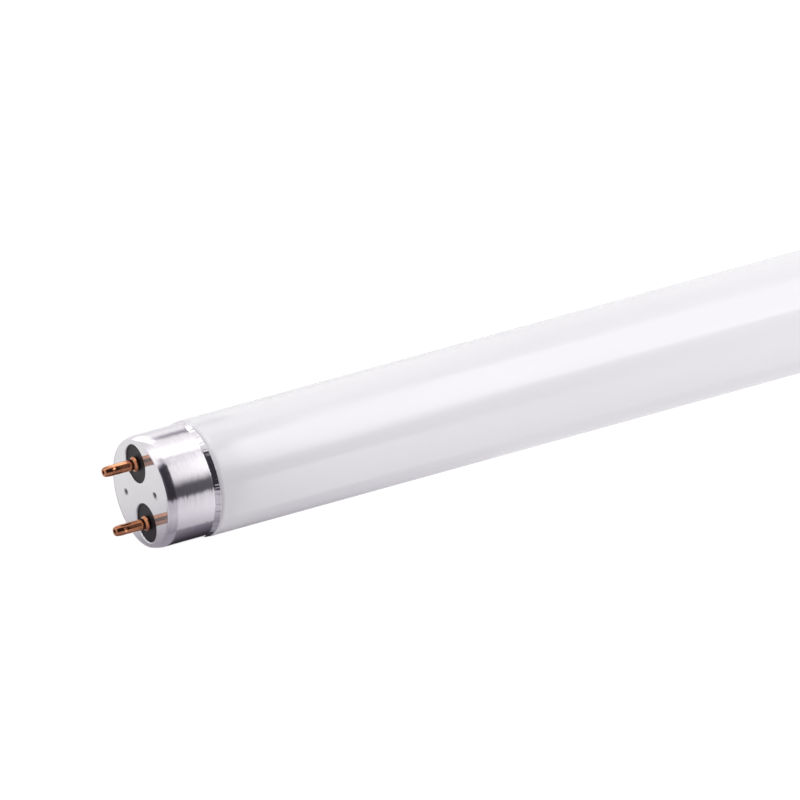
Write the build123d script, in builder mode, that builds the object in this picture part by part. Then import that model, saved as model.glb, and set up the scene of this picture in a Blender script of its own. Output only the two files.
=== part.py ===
from build123d import *
import math
import os

# An LED tube of the 2 ft class: an opal glass pipe with a pressed metal cap at each end, two contact
# pins in each cap, a strip of LEDs along the bottom of the glass and a small driver at the input end.
#
# Frame: X runs along the tube's axis and the origin is on that axis, halfway between the caps. The input
# cap is at the -X end. The pins of a cap lie in line along Y. The LED strip lies along the bottom, at -Z,
# and shines towards +Z. All sizes are in millimetres.

# Driving sizes of the whole tube
tube_length = 588.8  # over the flat faces of the two caps
glass_diameter = 25.0

# Glass pipe
glass_wall = 0.8
neck_setback = 3.4  # from a cap's face to the end of the glass inside it
shoulder_inset = 0.45  # how far inside the cap's rim the glass begins to widen
shoulder_bevel = 0.5  # how far the bevel between shoulder and full diameter runs along each of them

# End caps, pressed from sheet
cap_length = 12.4
cap_wall = 0.4
cap_face_wall = 0.5
cap_corner_radius = 0.8
cap_corner_bevels = 2  # the round corner is drawn as this many bevels
rim_flare = 0.35  # how far the rim stands out past the skirt
rim_flare_length = 1.6
rim_step = 0.05  # how far the rim stays below the glass
rim_clearance = 0.1  # between the rim and the shoulder of the glass
cement_gap = 0.3  # between the cap's skirt and the neck of the glass
window_diameter = 8.2  # round window in the cap's face around each pin

# Stake marks punched in the cap's face
stake_spacing = 13.0
stake_diameter = 1.25
stake_depth = 0.35

# Insulator plate behind the cap's face
insulator_thickness = 1.6
insulator_clearance = 0.1
insulator_sides = 8

# Contact pins
pin_spacing = 12.7
pin_diameter = 2.35
pin_projection = 7.5  # past the cap's face
pin_tip_diameter = 1.8
pin_tip_length = 1.5
pin_bore = 0.9
pin_bead_height = 0.475  # how far the bead stands out past the pin
pin_bead_land = 0.5
pin_bead_slope = 0.5
pin_rivet_diameter = 3.6  # head that is spread behind the insulator
pin_rivet_thickness = 0.5
pin_hole_clearance = 0.05
crimp_count = 4
crimp_from_tip = 2.5
crimp_length = 0.9
crimp_width = 0.7
crimp_depth = 0.2

# Wires
lead_diameter = 0.7
lead_sides = 6
lead_reach = 4.0  # how far a lead runs into a pin, past the cap's face
input_lead_margin = 2.0  # from the end of the driver's board to the input leads
output_lead_overlap = 3.0  # how far the output leads lie against the driver's board
output_lead_spacing = 5.0
output_lead_margin = 3.0  # from the end of the strip to the leads that feed it
link_setback = 6.0  # from the far cap's face to the wire that joins its pins

# Driver's sleeve and board
sleeve_clearance = 0.2
sleeve_wall = 0.2
sleeve_setback = 5.0
sleeve_overhang = 2.0
driver_start = 11.5  # from the input cap's face to the board
driver_drop = 4.6  # from the tube's axis down to the board's upper face
driver_board_thickness = 1.0
driver_edge_clearance = 0.05
driver_end_margin = 2.5
component_gap = 1.0

# Parts on the driver's board
fuse_length = 7.0
fuse_diameter = 2.6
fuse_offset = 4.0
varistor_diameter = 7.0
varistor_thickness = 3.2
varistor_offset = 3.2
varistor_lift = 0.8
leg_width = 0.6
leg_spacing = 5.0
film_length = 10.0
film_width = 5.0
film_height = 7.5
film_bevel = 0.6
choke_length = 10.2
choke_width = 4.8
choke_height = 8.6
choke_yoke = 1.3
choke_post = 2.6
winding_thickness = 2.1
winding_clearance = 0.1
smoothing_diameter = 8.0
output_diameter = 6.3
can_length = 12.0
can_spacing = 0.5
bridge_length = 4.7
bridge_leg_pitch = 2.54
chip_length = 4.9
chip_width = 3.9
chip_height = 1.5
chip_lift = 0.1
chip_leg_pitch = 1.27
chip_leg_width = 0.45
chip_leg_reach = 1.0
chip_leg_thickness = 0.2

# LED strip
strip_width = 10.0
strip_thickness = 1.0
strip_edge_clearance = 0.1
strip_setback = 3.0  # from the end of the driver's sleeve
strip_far_margin = 20.0  # from the far cap's face
strip_bed_width = 8.0
strip_bed_margin = 4.0  # bare length at each end of the strip
led_length = 3.5
led_width = 2.8
led_height = 0.55
led_pitch = 13.6
led_end_margin = 6.0
phosphor_length = 2.6
phosphor_width = 1.9
phosphor_height = 0.15

# Radii that follow from the driving sizes
glass_radius = glass_diameter / 2
glass_bore_radius = glass_radius - glass_wall
neck_radius = glass_radius - rim_step - rim_flare - cap_wall - cement_gap
neck_bore_radius = neck_radius - glass_wall
cap_bore_radius = neck_radius + cement_gap
cap_radius = cap_bore_radius + cap_wall
rim_radius = cap_radius + rim_flare
sleeve_radius = neck_bore_radius - sleeve_clearance
sleeve_bore_radius = sleeve_radius - sleeve_wall
pin_radius = pin_diameter / 2
bead_radius = pin_radius + pin_bead_height
lead_radius = lead_diameter / 2

# Places along the axis, measured inwards from the input cap's face
insulator_back = cap_face_wall + insulator_thickness
pin_inner_end = insulator_back + pin_rivet_thickness
flare_start = cap_length - rim_flare_length
shoulder_start = cap_length - shoulder_inset
shoulder_angle = math.atan2(cement_gap + rim_flare - rim_clearance, shoulder_inset)
shoulder_end = shoulder_start + (glass_radius - neck_radius) / math.tan(shoulder_angle)
fuse_station = driver_start + driver_end_margin + input_lead_margin
film_station = fuse_station + max(fuse_length, varistor_thickness) + component_gap
choke_station = film_station + film_length + component_gap
can_station = choke_station + choke_length + component_gap
driver_end = can_station + can_length + driver_end_margin
sleeve_end = driver_end + sleeve_overhang
strip_start = sleeve_end + strip_setback
strip_end = tube_length - strip_far_margin
strip_length = strip_end - strip_start
film_middle = film_station + film_length / 2
choke_middle = choke_station + choke_length / 2

# Heights
driver_top = -driver_drop
driver_bottom = driver_top - driver_board_thickness
driver_half_width = math.sqrt((sleeve_bore_radius - driver_edge_clearance) ** 2 - driver_bottom**2)
strip_bottom = -math.sqrt((glass_bore_radius - strip_edge_clearance) ** 2 - (strip_width / 2) ** 2)
strip_top = strip_bottom + strip_thickness
led_top = strip_top + led_height


def x_at(depth):
    """The X of a place that lies this deep behind the input cap's face."""
    return depth - tube_length / 2


def across(depth):
    """The plane across the tube at that depth, with Y and Z of the tube as its own X and Y."""
    return Plane.YZ.offset(x_at(depth))


def lengthwise(depth=0.0, side=0.0, height=0.0):
    """A level plane whose own X runs along the tube and whose own Y is the distance from that line."""
    return Plane(origin=(x_at(depth), side, height), x_dir=(1, 0, 0), z_dir=(0, 0, 1))


def axis_at(side=0.0, height=0.0):
    """The line along X through that side and height."""
    return Axis((0, side, height), (1, 0, 0))


# Glass pipe: necked at both ends so that the caps come out flush with it
inner_shift = glass_wall * math.tan(shoulder_angle / 2)
neck_line = [
    (neck_setback, neck_radius),
    (shoulder_start, neck_radius),
    (
        shoulder_end - shoulder_bevel * math.cos(shoulder_angle),
        glass_radius - shoulder_bevel * math.sin(shoulder_angle),
    ),
    (shoulder_end + shoulder_bevel, glass_radius),
]
bore_line = [
    (neck_setback, neck_bore_radius),
    (shoulder_start + inner_shift, neck_bore_radius),
    (shoulder_end + inner_shift, glass_bore_radius),
]

with BuildPart() as glass_tube:
    with BuildSketch(lengthwise()):
        with BuildLine():
            outer_line = Polyline(neck_line + [(tube_length - x, r) for x, r in reversed(neck_line)])
            inner_line = Polyline(bore_line + [(tube_length - x, r) for x, r in reversed(bore_line)])
            Line(outer_line @ 0, inner_line @ 0)
            Line(outer_line @ 1, inner_line @ 1)
        make_face()
    revolve(axis=axis_at())

# Input cap: a drawn cup with a round corner and a flared rim, two round windows and two stake marks
corner_turns = [math.pi / 2 * step / cap_corner_bevels for step in range(cap_corner_bevels + 1)]
corner_line = [
    (
        cap_corner_radius * (1 - math.cos(turn)),
        cap_radius - cap_corner_radius * (1 - math.sin(turn)),
    )
    for turn in corner_turns
]

with BuildPart() as end_cap_input:
    with BuildSketch(lengthwise()):
        with BuildLine():
            Polyline(
                [(0, 0)]
                + corner_line
                + [
                    (flare_start, cap_radius),
                    (cap_length, rim_radius),
                    (cap_length, rim_radius - cap_wall),
                    (flare_start, cap_bore_radius),
                    (cap_face_wall, cap_bore_radius),
                    (cap_face_wall, 0),
                    (0, 0),
                ]
            )
        make_face()
    revolve(axis=axis_at())
    with BuildSketch(across(0)):
        with GridLocations(pin_spacing, 0, 2, 1):
            Circle(window_diameter / 2)
    extrude(amount=cap_face_wall, mode=Mode.SUBTRACT)
    with BuildSketch(across(0)):
        with GridLocations(0, stake_spacing, 1, 2):
            Circle(stake_diameter / 2)
    extrude(amount=stake_depth, mode=Mode.SUBTRACT)

# Insulator plate: lies against the inside of the cap's face and holds the two pins. Its corners centre it
# in the cap's bore, and its flats leave room for the cement to pass.
with BuildPart() as insulator_input:
    with BuildSketch(across(cap_face_wall)):
        RegularPolygon(
            cap_bore_radius - insulator_clearance, insulator_sides, rotation=180 / insulator_sides
        )
        with GridLocations(pin_spacing, 0, 2, 1):
            Circle(pin_radius + pin_hole_clearance, mode=Mode.SUBTRACT)
    extrude(amount=insulator_thickness)

# The far end is the input end turned round
with BuildPart() as end_cap_far:
    mirror(end_cap_input.part, about=Plane.YZ)

with BuildPart() as insulator_far:
    mirror(insulator_input.part, about=Plane.YZ)


def contact_pin(side):
    """A hollow pin of the input cap: tapered tip, crimp marks, bead on the insulator, spread rivet head."""
    pin_outline = [
        (pin_inner_end, pin_bore / 2),
        (pin_inner_end, pin_rivet_diameter / 2),
        (insulator_back, pin_rivet_diameter / 2),
        (insulator_back, pin_radius),
        (cap_face_wall, pin_radius),
        (cap_face_wall, bead_radius),
        (cap_face_wall - pin_bead_land, bead_radius),
        (cap_face_wall - pin_bead_land - pin_bead_slope, pin_radius),
        (pin_tip_length - pin_projection, pin_radius),
        (-pin_projection, pin_tip_diameter / 2),
        (-pin_projection, pin_bore / 2),
    ]
    with BuildPart() as pin:
        with BuildSketch(lengthwise(side=side)):
            with BuildLine():
                Polyline(pin_outline, close=True)
            make_face()
        revolve(axis=axis_at(side))
        with Locations(across(crimp_from_tip - pin_projection)):
            with Locations((side, 0)):
                with PolarLocations(pin_radius, crimp_count):
                    Box(2 * crimp_depth, crimp_width, crimp_length, mode=Mode.SUBTRACT)
    return pin


contact_pin_live = contact_pin(pin_spacing / 2)
contact_pin_neutral = contact_pin(-pin_spacing / 2)

with BuildPart() as contact_pin_far_left:
    mirror(contact_pin_live.part, about=Plane.YZ)

with BuildPart() as contact_pin_far_right:
    mirror(contact_pin_neutral.part, about=Plane.YZ)

# LED strip: a narrow board on a bed of adhesive along the bottom of the glass
strip_middle = x_at((strip_start + strip_end) / 2)

with BuildPart() as led_strip_board:
    with BuildSketch(Plane.XY.offset(strip_bottom)):
        with Locations((strip_middle, 0)):
            Rectangle(strip_length, strip_width)
    extrude(amount=strip_thickness)

with BuildPart() as strip_adhesive:
    with BuildSketch(across(strip_start + strip_bed_margin)):
        Circle(glass_bore_radius)
        with Locations((0, strip_bottom)):
            Rectangle(strip_bed_width, glass_radius, align=(Align.CENTER, Align.MAX), mode=Mode.INTERSECT)
    extrude(amount=strip_length - 2 * strip_bed_margin)

# LEDs: moulded housings in one row along the strip, each with a window of phosphor on top
led_count = int((strip_length - 2 * led_end_margin - led_length) / led_pitch) + 1

with BuildPart() as led_housings:
    with BuildSketch(Plane.XY.offset(strip_top)):
        with Locations((strip_middle, 0)):
            with GridLocations(led_pitch, 0, led_count, 1):
                Rectangle(led_length, led_width)
    extrude(amount=led_height)

with BuildPart() as led_phosphor:
    with BuildSketch(Plane.XY.offset(led_top)):
        with Locations((strip_middle, 0)):
            with GridLocations(led_pitch, 0, led_count, 1):
                Rectangle(phosphor_length, phosphor_width)
    extrude(amount=phosphor_height)

# Driver: a board in an insulating sleeve that passes through the neck of the glass
with BuildPart() as driver_sleeve:
    with BuildSketch(across(sleeve_setback)):
        Circle(sleeve_radius)
        Circle(sleeve_bore_radius, mode=Mode.SUBTRACT)
    extrude(amount=sleeve_end - sleeve_setback)

with BuildPart() as driver_board:
    with BuildSketch(lengthwise(driver_start, height=driver_bottom)):
        Rectangle(driver_end - driver_start, 2 * driver_half_width, align=(Align.MIN, Align.CENTER))
    extrude(amount=driver_board_thickness)

# Fuse resistor: a coated rod that lies on the board
with BuildPart() as fuse_resistor:
    with BuildSketch(across(fuse_station)):
        with Locations((fuse_offset, driver_top + fuse_diameter / 2)):
            Circle(fuse_diameter / 2)
    extrude(amount=fuse_length)

# Varistor: a coated disc that stands on two flat legs
varistor_height = driver_top + varistor_lift + varistor_diameter / 2

with BuildPart() as varistor:
    with BuildSketch(across(fuse_station)):
        with Locations((-varistor_offset, varistor_height)):
            Circle(varistor_diameter / 2)
    extrude(amount=varistor_thickness)
    with BuildSketch(Plane.XY.offset(driver_top)):
        with Locations((x_at(fuse_station + varistor_thickness / 2), -varistor_offset)):
            with GridLocations(0, leg_spacing, 1, 2):
                Rectangle(leg_width, leg_width)
    extrude(amount=varistor_lift + varistor_diameter / 2)

# Film capacitor: a moulded box across the mains input
with BuildPart() as input_capacitor:
    with BuildSketch(lengthwise(film_middle, height=driver_top)):
        Rectangle(film_length, film_width)
    extrude(amount=film_height)
    chamfer(input_capacitor.edges().filter_by(Axis.Z), length=film_bevel)

# Filter choke: a ferrite frame that stands on the board, with the winding around its middle post
choke_window = (choke_length - choke_post) / 2 - choke_yoke

with BuildPart() as choke_core:
    with BuildSketch(lengthwise(choke_middle, height=driver_top)):
        Rectangle(choke_length, choke_width)
    extrude(amount=choke_height)
    with BuildSketch(lengthwise(choke_middle, height=driver_top + choke_yoke)):
        with GridLocations(choke_post + choke_window, 0, 2, 1):
            Rectangle(choke_window, choke_width)
    extrude(amount=choke_height - 2 * choke_yoke, mode=Mode.SUBTRACT)

with BuildPart() as choke_winding:
    with BuildSketch(lengthwise(choke_middle, height=driver_top + choke_yoke)):
        post_hole = Rectangle(choke_post + 2 * winding_clearance, choke_width + 2 * winding_clearance)
        offset(post_hole, amount=winding_thickness, kind=Kind.INTERSECTION)
        add(post_hole, mode=Mode.SUBTRACT)
    extrude(amount=choke_height - 2 * choke_yoke)


def can_capacitor(diameter, side):
    """An electrolytic can that lies on the board at that side."""
    with BuildPart() as can:
        with BuildSketch(across(can_station)):
            with Locations((side, driver_top + diameter / 2)):
                Circle(diameter / 2)
        extrude(amount=can_length)
    return can


smoothing_capacitor = can_capacitor(smoothing_diameter, -(smoothing_diameter + can_spacing) / 2)
output_capacitor = can_capacitor(output_diameter, (output_diameter + can_spacing) / 2)


def chip_under_board(depth, length, legs_per_side, leg_pitch):
    """A moulded chip under the board, on flat legs that reach out along both of its long sides."""
    board_face = Plane(origin=(x_at(depth), 0, driver_bottom), x_dir=(1, 0, 0), z_dir=(0, 0, -1))
    with BuildPart() as chip:
        with BuildSketch(board_face.offset(chip_lift)):
            Rectangle(length, chip_width)
        extrude(amount=chip_height - chip_lift)
        with BuildSketch(board_face):
            with GridLocations(leg_pitch, 0, legs_per_side, 1):
                Rectangle(chip_leg_width, chip_width + 2 * chip_leg_reach)
        extrude(amount=chip_leg_thickness)
    return chip


bridge_rectifier = chip_under_board(film_middle, bridge_length, 2, bridge_leg_pitch)
driver_ic = chip_under_board(choke_middle, chip_length, 4, chip_leg_pitch)


def wire(points):
    """A wire along those points, drawn six-sided and mitred at its corners, because the tube hides it."""
    with BuildPart() as bent_wire:
        with BuildLine():
            route = Polyline(points)
        with BuildSketch(Plane(origin=route @ 0, z_dir=route % 0)):
            RegularPolygon(lead_radius, lead_sides)
        sweep(transition=Transition.RIGHT)
    return bent_wire


def input_lead(side):
    """A lead from inside a pin to the driver's board, soldered on its upper face."""
    pad_x = x_at(driver_start + input_lead_margin)
    return wire([(x_at(-lead_reach), side, 0), (pad_x, side, 0), (pad_x, side, driver_top)])


def output_lead(side):
    """A lead soldered under the driver's board, which runs on and down to the start of the LED strip."""
    height = driver_bottom - lead_radius
    pad_x = x_at(strip_start + output_lead_margin)
    return wire(
        [
            (x_at(driver_end - output_lead_overlap), side, height),
            (pad_x, side, height),
            (pad_x, side, strip_top),
        ]
    )


lead_live = input_lead(pin_spacing / 2)
lead_neutral = input_lead(-pin_spacing / 2)
lead_plus = output_lead(output_lead_spacing / 2)
lead_minus = output_lead(-output_lead_spacing / 2)

# Wire that joins the two pins of the far cap
far_pin_x = x_at(tube_length + lead_reach)
far_link_x = x_at(tube_length - link_setback)
pin_link_wire = wire(
    [
        (far_pin_x, pin_spacing / 2, 0),
        (far_link_x, pin_spacing / 2, 0),
        (far_link_x, -pin_spacing / 2, 0),
        (far_pin_x, -pin_spacing / 2, 0),
    ]
)

nodes = {
    "glass_tube": glass_tube,
    "end_cap_input": end_cap_input,
    "end_cap_far": end_cap_far,
    "insulator_input": insulator_input,
    "insulator_far": insulator_far,
    "contact_pin_live": contact_pin_live,
    "contact_pin_neutral": contact_pin_neutral,
    "contact_pin_far_left": contact_pin_far_left,
    "contact_pin_far_right": contact_pin_far_right,
    "led_strip_board": led_strip_board,
    "strip_adhesive": strip_adhesive,
    "led_housings": led_housings,
    "led_phosphor": led_phosphor,
    "driver_sleeve": driver_sleeve,
    "driver_board": driver_board,
    "fuse_resistor": fuse_resistor,
    "varistor": varistor,
    "input_capacitor": input_capacitor,
    "choke_core": choke_core,
    "choke_winding": choke_winding,
    "smoothing_capacitor": smoothing_capacitor,
    "output_capacitor": output_capacitor,
    "bridge_rectifier": bridge_rectifier,
    "driver_ic": driver_ic,
    "lead_live": lead_live,
    "lead_neutral": lead_neutral,
    "lead_plus": lead_plus,
    "lead_minus": lead_minus,
    "pin_link_wire": pin_link_wire,
}

os.makedirs("parts", exist_ok=True)
for name, builder in nodes.items():
    builder.part.label = name
    export_step(builder.part, f"parts/{name}.step")
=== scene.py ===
"""Looks of an LED tube: an opal glass pipe, two pressed aluminium caps, four contact pins, and inside
them the LED strip and its driver.

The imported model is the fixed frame. X runs along the tube's axis and the origin lies on it, halfway
between the caps. The two pins of a cap lie in line along Y, and the LED strip lies at -Z. Lengths are in
metres. A place near a cap is given by its depth, which is its distance behind the cap's flat face.
"""

import logging
import math
from dataclasses import dataclass, field
from enum import Enum
from typing import ClassVar

import bmesh
import bpy
import numpy as np
from mathutils import Matrix, Vector


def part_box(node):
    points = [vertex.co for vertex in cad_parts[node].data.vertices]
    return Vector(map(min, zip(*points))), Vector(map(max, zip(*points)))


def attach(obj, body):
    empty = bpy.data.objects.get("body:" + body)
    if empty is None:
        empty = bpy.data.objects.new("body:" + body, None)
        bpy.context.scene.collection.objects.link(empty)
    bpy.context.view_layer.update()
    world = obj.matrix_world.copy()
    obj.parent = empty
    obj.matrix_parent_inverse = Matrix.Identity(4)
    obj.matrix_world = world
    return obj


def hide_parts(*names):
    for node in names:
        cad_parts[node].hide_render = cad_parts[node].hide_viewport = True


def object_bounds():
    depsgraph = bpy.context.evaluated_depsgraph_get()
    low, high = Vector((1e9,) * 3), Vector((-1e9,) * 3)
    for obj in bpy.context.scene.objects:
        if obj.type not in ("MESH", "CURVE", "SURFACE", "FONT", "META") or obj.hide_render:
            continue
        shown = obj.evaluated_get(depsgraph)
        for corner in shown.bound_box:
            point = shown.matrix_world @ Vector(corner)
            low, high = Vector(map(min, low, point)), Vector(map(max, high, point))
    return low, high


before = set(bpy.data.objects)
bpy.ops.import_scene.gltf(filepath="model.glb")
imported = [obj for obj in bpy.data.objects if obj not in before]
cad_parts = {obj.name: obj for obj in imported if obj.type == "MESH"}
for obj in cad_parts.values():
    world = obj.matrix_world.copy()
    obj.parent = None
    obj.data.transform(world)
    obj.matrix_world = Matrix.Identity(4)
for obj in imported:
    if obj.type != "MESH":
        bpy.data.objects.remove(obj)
cad_low, cad_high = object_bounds()

MM = 0.001
GRAIN_MAP = "grain"
# attribute that holds painted shade on the cap's points, in the rim's wrinkles and the stake marks
PAINTED_SHADE_MAP = "painted_shade"
GLOW_MAP = "glow"
WELD_DISTANCE = 0.0005 * MM
MARKS_LOW = 0.3
MARKS_HIGH = 0.7
MIX_INPUTS = (0, 6, 7)
MIX_RESULT = 2
WHITE = (1.0, 1.0, 1.0)
DIM_LIGHT = (0.88, 0.8, 1.0)
# colour of the painted shade in the cap's rim wrinkles and stake marks
PAINTED_SHADE_COLOUR = (0.02, 0.016, 0.018)

log = logging.getLogger("led_tube")

Array = np.ndarray
Object = bpy.types.Object
Pair = tuple[float, float]
Colour = tuple[float, float, float]
Waves = tuple[tuple[int, float, float], ...]
Profile = dict[float, float]
Socket = bpy.types.NodeSocket
Material = bpy.types.Material


class End(Enum):
    """The two ends of the tube. The value is the side of the origin on which the end lies."""

    INPUT = -1
    FAR = 1


class Grain(Enum):
    """How a surface's marks run. The value is their shape along X, Y and Z, as shares of their length."""

    EVEN = (1.0, 1.0, 1.0)
    ALONG_TUBE = (1.0, 0.04, 0.04)
    ROUND_TUBE = (0.05, 1.0, 1.0)


class Seen(Enum):
    """What a studio card takes part in: all light, only the shading, or only what polished surfaces
    mirror. The camera sees none of the cards.
    """

    LIGHT = "light"
    SHADE = "shade"
    MIRROR = "mirror"


class Nodes:
    """A node tree, written one node at a time."""

    def __init__(self, tree: bpy.types.NodeTree) -> None:
        """Empties the tree.

        Args:
            tree: the tree of a material or of the world.
        """
        self.tree = tree
        tree.nodes.clear()

    def add(self, kind: str, inputs: dict[str | int, object], **settings: object) -> bpy.types.Node:
        """Adds one node.

        Args:
            kind: the node's type.
            inputs: a value or another node's socket for each input, by name or by number.
            settings: the node's own settings.

        Returns:
            The new node.
        """
        node = self.tree.nodes.new(kind)
        for key, value in settings.items():
            setattr(node, key, value)
        for key, value in inputs.items():
            if isinstance(value, Socket):
                self.tree.links.new(value, node.inputs[key])
            else:
                node.inputs[key].default_value = value
        return node

    def number(self, operation: str, first: object, second: object = 0.0) -> Socket:
        """The result of one operation on numbers."""
        return self.add("ShaderNodeMath", {0: first, 1: second}, operation=operation).outputs[0]

    def vector(self, operation: str, first: object, second: object = (0.0, 0.0, 0.0)) -> Socket:
        """The result of one operation on vectors."""
        return self.add("ShaderNodeVectorMath", {0: first, 1: second}, operation=operation).outputs[0]


class Recipe(Nodes):
    """A material's node tree."""

    def __init__(self, name: str) -> None:
        """Starts an empty material.

        Args:
            name: the material's name.
        """
        self.material = bpy.data.materials.new(name)
        self.material.use_nodes = True
        super().__init__(self.material.node_tree)
        self.place = self.add("ShaderNodeTexCoord", {}).outputs["Object"]

    def marks(self, length: float, grain: Grain = Grain.EVEN, detail: float = 3.0) -> Socket:
        """A field of soft marks on the surface.

        Args:
            length: about how long one mark is.
            grain: how the marks run.
            detail: how many finer sizes of mark are laid over the first.

        Returns:
            A value between 0 and 1, mostly near 0.5.
        """
        stretch = tuple(1.0 / (length * share) for share in grain.value)
        spread = self.add("ShaderNodeMapping", {"Vector": self.place, "Scale": stretch}).outputs[0]
        noise = self.add("ShaderNodeTexNoise", {"Vector": spread, "Scale": 1.0, "Detail": detail})
        return noise.outputs["Fac"]

    def between(
        self, share: Socket, low: float, high: float, start: float = MARKS_LOW, stop: float = MARKS_HIGH
    ) -> Socket:
        """A value that goes from low to high while the share goes from start to stop."""
        inputs = {"Value": share, "From Min": start, "From Max": stop, "To Min": low, "To Max": high}
        return self.add("ShaderNodeMapRange", inputs).outputs["Result"]

    def mixed(self, share: Socket, low: object, high: object) -> Socket:
        """The mix of two colours, each of them fixed or a socket, with the share of the second.

        Args:
            share: the share of the second colour.
            low: the first colour.
            high: the second colour.

        Returns:
            The mixed colour.
        """
        low, high = (part if isinstance(part, Socket) else (*part, 1.0) for part in (low, high))
        inputs = dict(zip(MIX_INPUTS, (share, low, high)))
        return self.add("ShaderNodeMix", inputs, data_type="RGBA").outputs[MIX_RESULT]

    def tint(self, share: Socket, low: Colour, high: Colour, *ends: float) -> Socket:
        """A colour that goes from low to high, with the ends of the share as in between."""
        return self.mixed(self.between(share, 0.0, 1.0, *ends), low, high)

    def attribute(self, name: str) -> Socket:
        """The value that each point of the surface has of its own."""
        return self.add("ShaderNodeAttribute", {}, attribute_name=name).outputs["Fac"]

    def relief(self, height: Socket, depth: float) -> Socket:
        """The surface's direction, roughened by a height field of that depth."""
        return self.add("ShaderNodeBump", {"Height": height, "Distance": depth}).outputs["Normal"]

    def end(self, shader: bpy.types.Node) -> Material:
        """Ends the tree with a shader node, and returns the finished material."""
        self.add("ShaderNodeOutputMaterial", {"Surface": shader.outputs[0]})
        return self.material


def shaded(colour: Colour, level: float) -> Colour:
    """The colour, made lighter or darker by that factor."""
    return tuple(part * level for part in colour)


@dataclass(frozen=True)
class Finish:
    """The look of one material. Its roughness changes with its marks, between two shares of itself."""

    name: str
    colour: Colour
    roughness: float
    rough_shares: ClassVar[Pair] = (0.85, 1.15)

    def rough(self, recipe: Recipe, marks: Socket) -> Socket:
        """The roughness under those marks."""
        low, high = self.rough_shares
        return recipe.between(marks, self.roughness * low, self.roughness * high)

    def inputs(self, recipe: Recipe) -> dict[str, object]:
        """The surface shader's inputs, each a value or a socket of the recipe."""
        raise NotImplementedError

    def material(self) -> Material:
        """Makes the material.

        Returns:
            The finished material.
        """
        recipe = Recipe(self.name)
        shader = recipe.add("ShaderNodeBsdfPrincipled", self.inputs(recipe))
        return recipe.end(shader)


@dataclass(frozen=True)
class OpalGlass(Finish):
    """Glass with a white diffusing coat inside: even white under a clear, slightly wavy gloss. Painted shade
    makes its colour a little darker towards the pipe's ends.
    """

    ior: float = 1.6
    cloud_length: float = 60 * MM
    cloud_level: float = 0.985
    wave_length: float = 90 * MM
    wave_depth: float = 0.004 * MM
    # painted shade near the pipe's ends: the colour's level at the rim, and the length over which it fades
    end_shade_level: float = 0.98
    end_shade_length: float = 60 * MM
    rough_shares: ClassVar[Pair] = (1.0, 1.4)

    def inputs(self, recipe: Recipe) -> dict[str, object]:
        """Faint clouds in the coat, and the long shallow waves of drawn glass.

        The colour goes from its full level to the level of the painted end shade over the shade's length,
        with the distance from the middle along X.

        Args:
            recipe: the material's node tree.

        Returns:
            The surface shader's inputs, by name.
        """
        along = recipe.add("ShaderNodeSeparateXYZ", {"Vector": recipe.place}).outputs["X"]
        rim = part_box("end_cap_far")[0].x
        # share of the painted shade near the ends, from the distance from the middle along X
        end = recipe.between(recipe.number("ABSOLUTE", along), 0.0, 1.0, rim - self.end_shade_length, rim)
        cloud = recipe.marks(self.cloud_length)
        wave = recipe.marks(self.wave_length, Grain.ALONG_TUBE, detail=1.0)
        clouded = recipe.tint(cloud, shaded(self.colour, self.cloud_level), self.colour)
        return {
            "Base Color": recipe.mixed(end, clouded, shaded(self.colour, self.end_shade_level)),
            "Roughness": self.rough(recipe, cloud),
            "IOR": self.ior,
            "Normal": recipe.relief(wave, self.wave_depth),
        }


@dataclass(frozen=True)
class BrushedMetal(Finish):
    """Sheet metal that was polished while it turned: fine marks run round it and lean to either side."""

    grain: Grain
    mark_length: float = 4 * MM
    lean: float = 0.002
    anisotropy: float = 0.0
    mark_level: float = 0.97
    pit_length: float = 0.5 * MM
    pit_depth: float = 0.0008 * MM
    metallic: float = 1.0

    def inputs(self, recipe: Recipe) -> dict[str, object]:
        """The marks change the colour a little, and lean the surface's direction round the tube.

        The leaning direction is the surface's own plus a share of the direction round X. That share
        goes with the mark's value from the lean to one side to the lean to the other. Painted shade, kept
        on the piece's points, darkens the colour.

        Args:
            recipe: the material's node tree.

        Returns:
            The surface shader's inputs, by name.
        """
        marks = recipe.marks(self.mark_length, self.grain, detail=4.0)
        pits = recipe.marks(self.pit_length)
        around = recipe.vector("NORMALIZE", recipe.vector("CROSS_PRODUCT", (1.0, 0.0, 0.0), recipe.place))
        share = recipe.between(marks, -self.lean, self.lean)
        push = recipe.add("ShaderNodeVectorMath", {0: around, "Scale": share}, operation="SCALE").outputs[0]
        leaning = recipe.vector("NORMALIZE", recipe.vector("ADD", recipe.relief(pits, self.pit_depth), push))
        tangent = recipe.add("ShaderNodeTangent", {}, direction_type="UV_MAP", uv_map=GRAIN_MAP)
        unshaded = recipe.tint(marks, shaded(self.colour, self.mark_level), self.colour)
        return {
            # painted shade from the points' attribute darkens the colour
            "Base Color": recipe.mixed(recipe.attribute(PAINTED_SHADE_MAP), unshaded, PAINTED_SHADE_COLOUR),
            "Metallic": self.metallic,
            "Roughness": self.rough(recipe, marks),
            "Anisotropic": self.anisotropy,
            "Normal": leaning,
            "Tangent": tangent.outputs[0],
        }


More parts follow.
